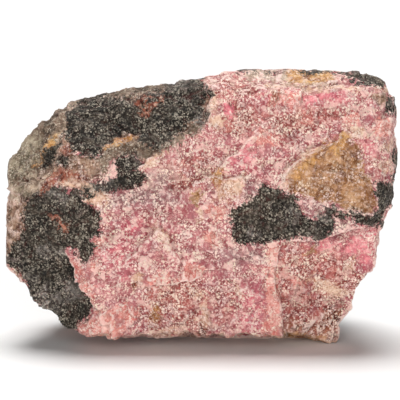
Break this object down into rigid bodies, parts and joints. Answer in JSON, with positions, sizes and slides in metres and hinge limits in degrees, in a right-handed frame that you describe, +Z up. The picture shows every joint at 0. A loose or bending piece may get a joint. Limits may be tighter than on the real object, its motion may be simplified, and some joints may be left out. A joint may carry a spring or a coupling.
{
  "type": "rough rhodonite stone",
  "caption": "Blocky rough piece of rhodonite with broken pink, black and honey-coloured faces, a stepped corner, small ledges and a flattened underside on which it lies.",
  "frame": {"origin": "centre of the bounding box at the level of the surface on which the stone lies", "axes": "+X to the right along the stone's length as the main broken face is seen, +Y from that face to the back, +Z up"},
  "size_m": [0.096, 0.0572, 0.0673],
  "materials": {
    "rhodonite": "granular pink mineral, dull to faintly sparkling, with sooty black oxide patches and honey-brown stains"
  },
  "bodies": {
    "root": {"rhodonite": "rhodonite"}
  },
  "joints": []
}
